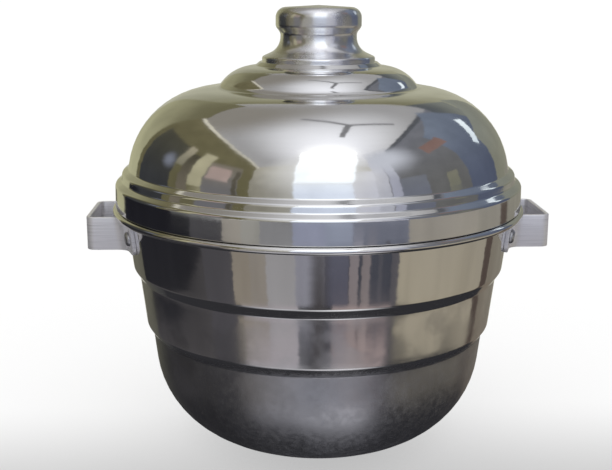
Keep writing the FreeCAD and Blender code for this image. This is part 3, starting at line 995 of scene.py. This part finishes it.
def floor_paint():
    """Matt white paint that partly glows, a painted even light that keeps shadows faint, and a grey patch of
    painted shade.
    """
    painted_light_share = 0.62
    shaded_share = 1.0 - painted_light_share
    white = (1.0, 1.0, 1.0, 1.0)
    painted_shade_grey = (0.62, 0.62, 0.62, 1.0)
    material = bpy.data.materials.new("floor_paint")
    material.use_nodes = True
    tree = material.node_tree
    shader = tree.nodes["Principled BSDF"]
    shader.inputs["Roughness"].default_value = 1.0
    shader.inputs["Specular IOR Level"].default_value = 0.0
    # The floor glows at this share of its colour: a painted even light that keeps shadows on it faint.
    shader.inputs["Emission Strength"].default_value = painted_light_share
    split = split_place(tree)
    sideways = maths(tree, "ABSOLUTE", split["X"])
    near_share = spread(tree, split["Y"], (white_from, grey_from), whole_share)
    far_share = spread(tree, split["Y"], (white_again, grey_until), whole_share)
    side_share = spread(tree, sideways, (white_half_width, grey_half_width), whole_share)
    share = maths(tree, "MULTIPLY", maths(tree, "MULTIPLY", near_share, far_share), side_share)
    # White, but pale grey in a soft patch before the pot: painted shade.
    lit = colour_mix(tree, share, white, painted_shade_grey)
    tree.links.new(lit, shader.inputs["Emission Color"])
    tree.links.new(vector_maths(tree, "MULTIPLY", lit, [shaded_share] * 3), shader.inputs["Base Color"])
    return material


def flat_piece(name, corners, material):
    """A flat sheet of the studio between its corners."""
    mesh = bpy.data.meshes.new(name)
    mesh.from_pydata([tuple(corner) for corner in corners], [], [range(len(corners))])
    mesh.materials.append(material)
    sheet = bpy.data.objects.new(name, mesh)
    bpy.context.scene.collection.objects.link(sheet)
    return sheet


floor_corners = [(x * floor_reach, y * floor_reach, 0) for x, y in ((-1, -1), (1, -1), (1, 1), (-1, 1))]
floor = flat_piece("floor", floor_corners, floor_paint())
floor.visible_glossy = False

# Light: an even white studio all round, with no lamp stronger than the rest. In the metal's reflections, the
# cards that follow hide most of it.
studio_strength = 1.04
world = bpy.data.worlds.new("white_studio")
world.use_nodes = True
world.node_tree.nodes["Background"].inputs["Color"].default_value = (1.0, 1.0, 1.0, 1.0)
world.node_tree.nodes["Background"].inputs["Strength"].default_value = studio_strength
bpy.context.scene.world = world
bpy.context.scene.view_settings.view_transform = "Standard"

# Reflection cards: coloured cards stand round the set, because polished metal shows only what is round it.
# Their places and colours follow what the photographed metal mirrors, and nothing else sees them. A bearing
# of 0 degrees faces the camera and grows to its right, and angles are seen from the pot's middle.
middle_height = 0.15


def light_paint(name, colour, strength):
    """A material that only gives off light, and the tree, output socket and light to finish it with."""
    material = bpy.data.materials.new(name)
    material.use_nodes = True
    tree = material.node_tree
    tree.nodes.clear()
    surface = tree.nodes.new("ShaderNodeOutputMaterial").inputs["Surface"]
    light = add_node(tree, "ShaderNodeEmission", {"Color": (*colour, 1.0), "Strength": strength})
    tree.links.new(light.outputs["Emission"], surface)
    return material, tree, surface, light


def card_paint(name, low, high, low_colour, high_colour):
    """A card that goes from one colour at its foot to another at its top, a little blotched."""
    blotch_scale = 1.6
    blotch_detail = 4.0
    blotch_strengths = (0.92, 1.08)
    material, tree, surface, light = light_paint(name, low_colour, 1.0)
    climb = spread(tree, split_place(tree)["Z"], (low, high), whole_share)
    colour = colour_mix(tree, climb, (*low_colour, 1.0), (*high_colour, 1.0))
    blotches = noise(tree, object_place(tree), blotch_scale, blotch_detail)
    tree.links.new(colour, light.inputs["Color"])
    tree.links.new(spread(tree, blotches, most_noise, blotch_strengths), light.inputs["Strength"])
    return material


def glow_paint(name, colour, strength, middle, reaches, squeeze):
    """A card that is bright round its middle and fades to nothing between two distances from it."""
    material, tree, surface, light = light_paint(name, colour, strength)
    away = vector_maths(tree, "SUBTRACT", object_place(tree), middle)
    distance = length_of(tree, vector_maths(tree, "MULTIPLY", away, squeeze))
    share = spread(tree, distance, reaches, whole_share[::-1])
    clear = add_node(tree, "ShaderNodeBsdfTransparent").outputs["BSDF"]
    mix = add_node(tree, "ShaderNodeMixShader", {0: share, 1: clear, 2: light.outputs["Emission"]})
    tree.links.new(mix.outputs["Shader"], surface)
    return material


def bearing_point(bearing, distance, height):
    """A point at a bearing, at a distance from the pot's axis."""
    turn = math.radians(bearing) - camera_turn
    return Vector((distance * math.sin(turn), -distance * math.cos(turn), height))


def angle_height(distance, angle):
    """The height that is seen at an angle from the pot's middle, at a distance."""
    return middle_height + distance * math.tan(math.radians(angle))


def card_corners(facing, distance, bearings, heights):
    """Corners of an upright card that faces the pot squarely at one bearing."""
    reaches = [distance / math.cos(math.radians(bearing - facing)) for bearing in bearings]
    left, right = zip(bearings, reaches)
    low, high = heights
    sides = ((left, low), (right, low), (right, high), (left, high))
    return [bearing_point(*side, height) for side, height in sides]


def facing_point(facing, distance, bearing, angle):
    """A point seen at a bearing and an angle, on an upright card that faces the pot at another bearing."""
    reach = distance / math.cos(math.radians(bearing - facing))
    return bearing_point(bearing, reach, angle_height(reach, angle))


def level_corners(height):
    """Corners of a level card as wide as the floor."""
    return [(x, y, height) for x, y, z in floor_corners]


def reflection_card(name, corners, material):
    """A flat sheet that shows in the metal's reflections and nowhere else."""
    card = flat_piece(name, corners, material)
    card.visible_camera = False
    card.visible_diffuse = False
    card.visible_shadow = False


# How far the cards stand from the pot's axis, the nearer ones before the farther.
back = 4.2
front = 3.95
front_thing = 3.7
left = 2.94
left_thing = 2.75
left_near = 2.6
right = 2.37
right_thing = 2.2
right_near = 2.05
window = 1.9
thing = 2.8
near = 2.6
low_near = 2.5
panel_angles = (-31.0, -4.0)
board_angles = (-37.0, -31.0)
cards = {
    "back_wall": (180.0, back, (134.0, 226.0), (-4.0, 46.0),
                  (0.47, 0.465, 0.36), (0.15, 0.14, 0.07)),
    "back_low_wall": (180.0, back, (158.0, 202.0), (-32.0, -4.0),
                      (0.50, 0.49, 0.44), (0.50, 0.49, 0.39)),
    "back_cornice": (180.0, back, (145.0, 214.0), (39.3, 40.3),
                     (0.46, 0.45, 0.40), (0.50, 0.49, 0.44)),
    "left_wall": (-95.0, left, (-150.0, -36.0), (-4.0, 52.0),
                  (0.12, 0.11, 0.06), (0.15, 0.135, 0.075)),
    "left_cornice": (-95.0, left_thing, (-140.0, -38.0), (50.4, 52.0),
                     (0.62, 0.59, 0.49), (0.66, 0.63, 0.53)),
    "left_curtain": (-140.0, left_thing, (-162.0, -134.0), (-14.0, 46.0),
                     (0.45, 0.44, 0.28), (0.14, 0.13, 0.075)),
    "left_doorway": (-97.0, left_thing, (-129.0, -95.5), (-4.0, 34.0),
                     (0.036, 0.038, 0.042), (0.070, 0.068, 0.052)),
    "left_jamb": (-92.0, left_near, (-95.5, -88.5), (19.0, 35.5),
                  (0.26, 0.245, 0.18), (0.36, 0.325, 0.235)),
    "left_shelf": (-84.0, left_thing, (-88.5, -80.5), (-4.0, 31.5),
                   (0.17, 0.15, 0.115), (0.075, 0.068, 0.048)),
    "left_screen": (-75.5, left_near, (-80.5, -70.0), (7.0, 36.0),
                    (0.42, 0.395, 0.265), (0.45, 0.42, 0.285)),
    "left_cupboard": (-58.0, left_thing, (-70.0, -46.5), (-4.0, 31.0),
                      (0.145, 0.145, 0.16), (0.20, 0.18, 0.145)),
    "rose_cloth": (-60.0, left_near, (-68.5, -53.0), (15.0, 27.5),
                   (0.42, 0.33, 0.30), (0.40, 0.31, 0.28)),
    "left_edge": (-48.0, left_near, (-50.0, -47.0), (-4.0, 27.0),
                  (0.085, 0.078, 0.06), (0.10, 0.09, 0.07)),
    "front_wall": (0.0, front, (-42.0, 37.0), (-4.0, 44.0),
                   (0.22, 0.21, 0.175), (0.38, 0.36, 0.30)),
    "front_blind": (27.0, front_thing, (19.0, 34.0), (-2.0, 32.0),
                    (0.52, 0.53, 0.61), (0.60, 0.61, 0.71)),
    "front_fold": (38.0, front_thing, (34.0, 42.0), (-2.0, 44.0),
                   (0.44, 0.45, 0.51), (0.60, 0.60, 0.69)),
    "front_shade": (45.0, right_thing, (42.0, 48.0), (-2.0, 44.0),
                    (0.33, 0.34, 0.42), (0.50, 0.51, 0.58)),
    "right_wall": (95.0, right, (36.0, 160.0), (-4.0, 58.0),
                   (0.13, 0.13, 0.13), (0.17, 0.175, 0.20)),
    "right_cornice": (95.0, right_thing, (54.0, 142.0), (55.8, 58.1),
                      (0.095, 0.10, 0.115), (0.075, 0.08, 0.09)),
    "right_chair": (56.0, right_thing, (48.0, 66.0), (-4.0, 20.0),
                    (0.13, 0.14, 0.185), (0.17, 0.18, 0.21)),
    "red_cloth": (92.0, right_thing, (80.0, 104.0), (37.0, 44.5),
                  (0.22, 0.145, 0.13), (0.21, 0.135, 0.12)),
    "right_box": (84.5, right_thing, (80.0, 89.0), (5.0, 16.5),
                  (0.19, 0.19, 0.15), (0.215, 0.21, 0.165)),
    "right_bay": (118.0, right_thing, (98.0, 146.0), (-4.0, 50.0),
                  (0.085, 0.10, 0.15), (0.17, 0.20, 0.26)),
    "right_crate": (142.0, right_near, (127.0, 162.0), (-4.0, 24.0),
                    (0.235, 0.235, 0.185), (0.22, 0.23, 0.20)),
    "right_back_wall": (152.0, right_near, (145.0, 160.0), (24.0, 39.5),
                        (0.19, 0.20, 0.18), (0.095, 0.105, 0.115)),
    "left_back_low": (-147.0, thing, (-160.0, -132.0), (-36.0, -8.0),
                      (0.05, 0.05, 0.052), (0.15, 0.145, 0.11)),
    "left_low_wall": (-97.0, thing, (-135.0, -64.0), (-25.5, -4.0),
                      (0.020, 0.020, 0.024), (0.012, 0.012, 0.016)),
    "left_floor_edge": (-97.0, thing, (-135.0, -64.0), (-37.0, -25.5),
                        (0.085, 0.080, 0.083), (0.060, 0.057, 0.060)),
    "left_board": (-61.0, near, (-71.0, -51.0), (-34.0, -8.0),
                   (0.075, 0.072, 0.080), (0.06, 0.058, 0.064)),
    "left_sill": (-67.0, near, (-84.0, -51.0), (-8.0, -2.0),
                  (0.20, 0.20, 0.195), (0.24, 0.24, 0.235)),
    "front_tan_panel": (-46.0, near, (-51.0, -40.0), panel_angles,
                        (0.245, 0.216, 0.178), (0.30, 0.28, 0.25)),
    "front_brown_panel": (-35.0, near, (-40.0, -30.0), panel_angles,
                          (0.25, 0.225, 0.197), (0.29, 0.285, 0.265)),
    "front_grey_panel": (-21.0, near, (-30.0, -13.0), panel_angles,
                         (0.315, 0.31, 0.32), (0.22, 0.22, 0.23)),
    "front_lilac_panel": (-4.0, near, (-13.0, 4.0), panel_angles,
                          (0.25, 0.25, 0.29), (0.28, 0.30, 0.40)),
    "front_blue_panel": (11.0, near, (4.0, 18.0), panel_angles,
                         (0.085, 0.085, 0.115), (0.30, 0.33, 0.42)),
    "front_dark_panel": (34.0, thing, (18.0, 49.0), panel_angles,
                         (0.045, 0.048, 0.062), (0.17, 0.18, 0.23)),
    "front_left_leg": (21.0, near, (18.5, 24.0), (-31.0, -10.0),
                       (0.216, 0.186, 0.19), (0.26, 0.26, 0.31)),
    "front_right_leg": (28.5, near, (26.0, 31.0), (-31.0, -10.0),
                        (0.22, 0.19, 0.19), (0.19, 0.19, 0.23)),
    "front_strip": (37.5, near, (36.0, 38.5), (-31.0, -12.0),
                    (0.08, 0.08, 0.095), (0.09, 0.09, 0.11)),
    "front_step": (46.0, near, (44.0, 48.5), (-31.0, -14.0),
                   (0.10, 0.095, 0.105), (0.10, 0.10, 0.12)),
    "right_cabinet": (66.0, near, (48.5, 96.0), panel_angles,
                      (0.35, 0.316, 0.244), (0.30, 0.28, 0.25)),
    "right_low_wall": (108.0, thing, (95.0, 128.0), (-28.5, -4.0),
                       (0.34, 0.305, 0.235), (0.28, 0.265, 0.235)),
    "right_post": (121.5, near, (117.0, 125.5), (-34.0, -8.0),
                   (0.06, 0.045, 0.040), (0.09, 0.07, 0.06)),
    "right_brown_wall": (142.0, thing, (126.0, 160.0), (-30.0, -4.0),
                         (0.19, 0.16, 0.127), (0.26, 0.25, 0.21)),
    "low_grey_board": (-30.0, near, (-48.0, -12.0), board_angles,
                       (0.37, 0.35, 0.38), (0.36, 0.33, 0.35)),
    "low_pink_board": (28.0, near, (9.0, 47.0), board_angles,
                       (0.34, 0.29, 0.29), (0.36, 0.285, 0.275)),
    "street": (3.0, window, (-14.0, 20.0), (2.0, 20.0),
               (0.60, 0.66, 0.80), (0.88, 0.95, 1.06)),
}
for name, (facing, distance, bearings, angles, low_colour, high_colour) in cards.items():
    heights = [angle_height(distance, angle) for angle in angles]
    paint = card_paint(name, *heights, low_colour, high_colour)
    reflection_card(name, card_corners(facing, distance, bearings, heights), paint)

slanted_cards = {
    "right_pane": (130.0, right_near, ((123.4, 19.0), (139.4, 30.0), (136.6, 34.0), (120.6, 23.0)),
                   (0.80, 0.90, 0.98), (0.86, 0.94, 1.0)),
    "window": (3.0, window, ((-14.0, 20.0), (20.5, 20.0), (33.0, 56.0), (-14.0, 56.0)),
               (1.15, 1.22, 1.28), (1.45, 1.45, 1.45)),
}
for name, (facing, distance, places, low_colour, high_colour) in slanted_cards.items():
    corners = [facing_point(facing, distance, *place) for place in places]
    heights = [corner.z for corner in corners]
    paint = card_paint(name, min(heights), max(heights), low_colour, high_colour)
    reflection_card(name, corners, paint)

# Ceiling, fan and ground shade: level cards, a grey ceiling high above with a three-bladed fan under it, and
# a dark sheet far below the pot, painted shade for the shaded ground that the metal mirrors.
ceiling_height = 3.7
shaded_ground_height = -1.9
level_colours = {"ceiling": (ceiling_height, (0.36, 0.356, 0.36)), "shaded_ground": (shaded_ground_height, (0.030, 0.030, 0.034))}
for name, (height, colour) in level_colours.items():
    reflection_card(name, level_corners(height), light_paint(name, colour, 1.0)[0])
fan_height = 3.2
fan_bearing = 121.0
fan_distance = 0.64
fan_reach = 0.98
fan_blade_width = 0.13
fan_blades = 3
fan_first_bearing = -1.5
fan_colour = (0.19, 0.19, 0.20)
fan_hub = bearing_point(fan_bearing, fan_distance, fan_height)
fan_paint = light_paint("fan", fan_colour, 1.0)[0]
for i in range(fan_blades):
    bearing = fan_first_bearing + math.degrees(math.tau) * i / fan_blades
    tip = fan_hub + bearing_point(bearing, fan_reach, 0)
    side = bearing_point(bearing + math.degrees(math.pi / 2), fan_blade_width / 2, 0)
    reflection_card("fan_blade", [fan_hub - side, fan_hub + side, tip + side, tip - side], fan_paint)

# Glows: cards that fade out towards their edges. They are the light round the window, on the ceiling, on the
# right wall and on the ground, a blue shine in the doorway on the left, and the soft shade on the ceiling
# behind and low in front. A spot is a bearing and a distance.
glow_gap = 0.02
window_bearing = 3.0
window_distance = 2.0
window_half_width = 56.0
window_angles = (2.0, 62.0)
sky_angle = 36.0
over_spot = (12.0, 2.2)
gleam_spot = (10.0, 2.5)
shade_spot = (-140.0, 2.7)
lit_wall_bearing = 62.0
lit_wall_distance = 2.0
lit_wall_sides = (34.0, 100.0)
lit_wall_angles = (6.0, 54.0)
lit_bearing = 46.0
lit_distance = 2.1
lit_angle = 42.0
left_ground_spot = (-26.0, 2.2)
right_ground_spot = (19.0, 1.8)
shadow_bearing = 1.0
shadow_sides = (-14.0, 16.0)
shadow_angles = (-38.0, -14.0)
shadow_angle = -32.0
screen_bearing = -101.5
screen_half_width = 12.0
screen_angles = (4.0, 33.0)
screen_angle = 18.5
evenly = (1.0, 1.0, 1.0)
narrowed = (1.7, 1.0, 1.0)
upright = (1.0, 1.0, 0.5)

window_heights = [angle_height(window_distance, angle) for angle in window_angles]
window_sides = (window_bearing - window_half_width, window_bearing + window_half_width)
sky_middle = bearing_point(window_bearing, window_distance, angle_height(window_distance, sky_angle))
over_height = ceiling_height - glow_gap
over_middle = bearing_point(*over_spot, over_height)
gleam_middle = bearing_point(*gleam_spot, over_height)
shade_height = over_height - glow_gap
shade_middle = bearing_point(*shade_spot, shade_height)
lit_middle = bearing_point(lit_bearing, lit_distance, angle_height(lit_distance, lit_angle))
lit_heights = [angle_height(lit_wall_distance, angle) for angle in lit_wall_angles]
ground_height = shaded_ground_height + glow_gap
left_ground = bearing_point(*left_ground_spot, ground_height)
right_ground = bearing_point(*right_ground_spot, ground_height)
shadow_heights = [angle_height(low_near, angle) for angle in shadow_angles]
shadow_middle = bearing_point(shadow_bearing, low_near, angle_height(low_near, shadow_angle))
screen_heights = [angle_height(near, angle) for angle in screen_angles]
screen_sides = (screen_bearing - screen_half_width, screen_bearing + screen_half_width)
screen_middle = bearing_point(screen_bearing, near, angle_height(near, screen_angle))
glows = {
    "sky_glow": ((0.98, 0.98, 0.97), 0.78, sky_middle, (0.3, 1.9), evenly,
                 card_corners(window_bearing, window_distance, window_sides, window_heights)),
    "ceiling_glow": ((0.98, 0.99, 1.05), 1.05, over_middle, (0.2, 5.2), narrowed,
                     level_corners(over_height)),
    "window_gleam": ((1.0, 1.0, 1.0), 1.3, gleam_middle, (0.35, 1.35), evenly,
                     level_corners(shade_height - glow_gap)),
    "ceiling_shade": ((0.25, 0.235, 0.21), 1.0, shade_middle, (0.7, 2.7), evenly,
                      level_corners(shade_height)),
    "wall_glow": ((0.56, 0.58, 0.65), 1.0, lit_middle, (0.2, 1.15), evenly,
                  card_corners(lit_wall_bearing, lit_wall_distance, lit_wall_sides, lit_heights)),
    "left_ground_glow": ((0.96, 0.96, 1.02), 0.56, left_ground, (0.1, 1.5), evenly,
                         level_corners(ground_height)),
    "right_ground_glow": ((0.98, 0.98, 1.03), 0.92, right_ground, (0.1, 1.35), evenly,
                          level_corners(ground_height + glow_gap)),
    "front_shadow": ((0.060, 0.056, 0.060), 1.0, shadow_middle, (0.05, 0.38), upright,
                     card_corners(shadow_bearing, low_near, shadow_sides, shadow_heights)),
    "screen_glow": ((0.20, 0.215, 0.265), 1.0, screen_middle, (0.05, 0.40), evenly,
                    card_corners(screen_bearing, near, screen_sides, screen_heights)),
}
for name, (colour, strength, middle, reaches, squeeze, corners) in glows.items():
    reflection_card(name, corners, glow_paint(name, colour, strength, middle, reaches, squeeze))
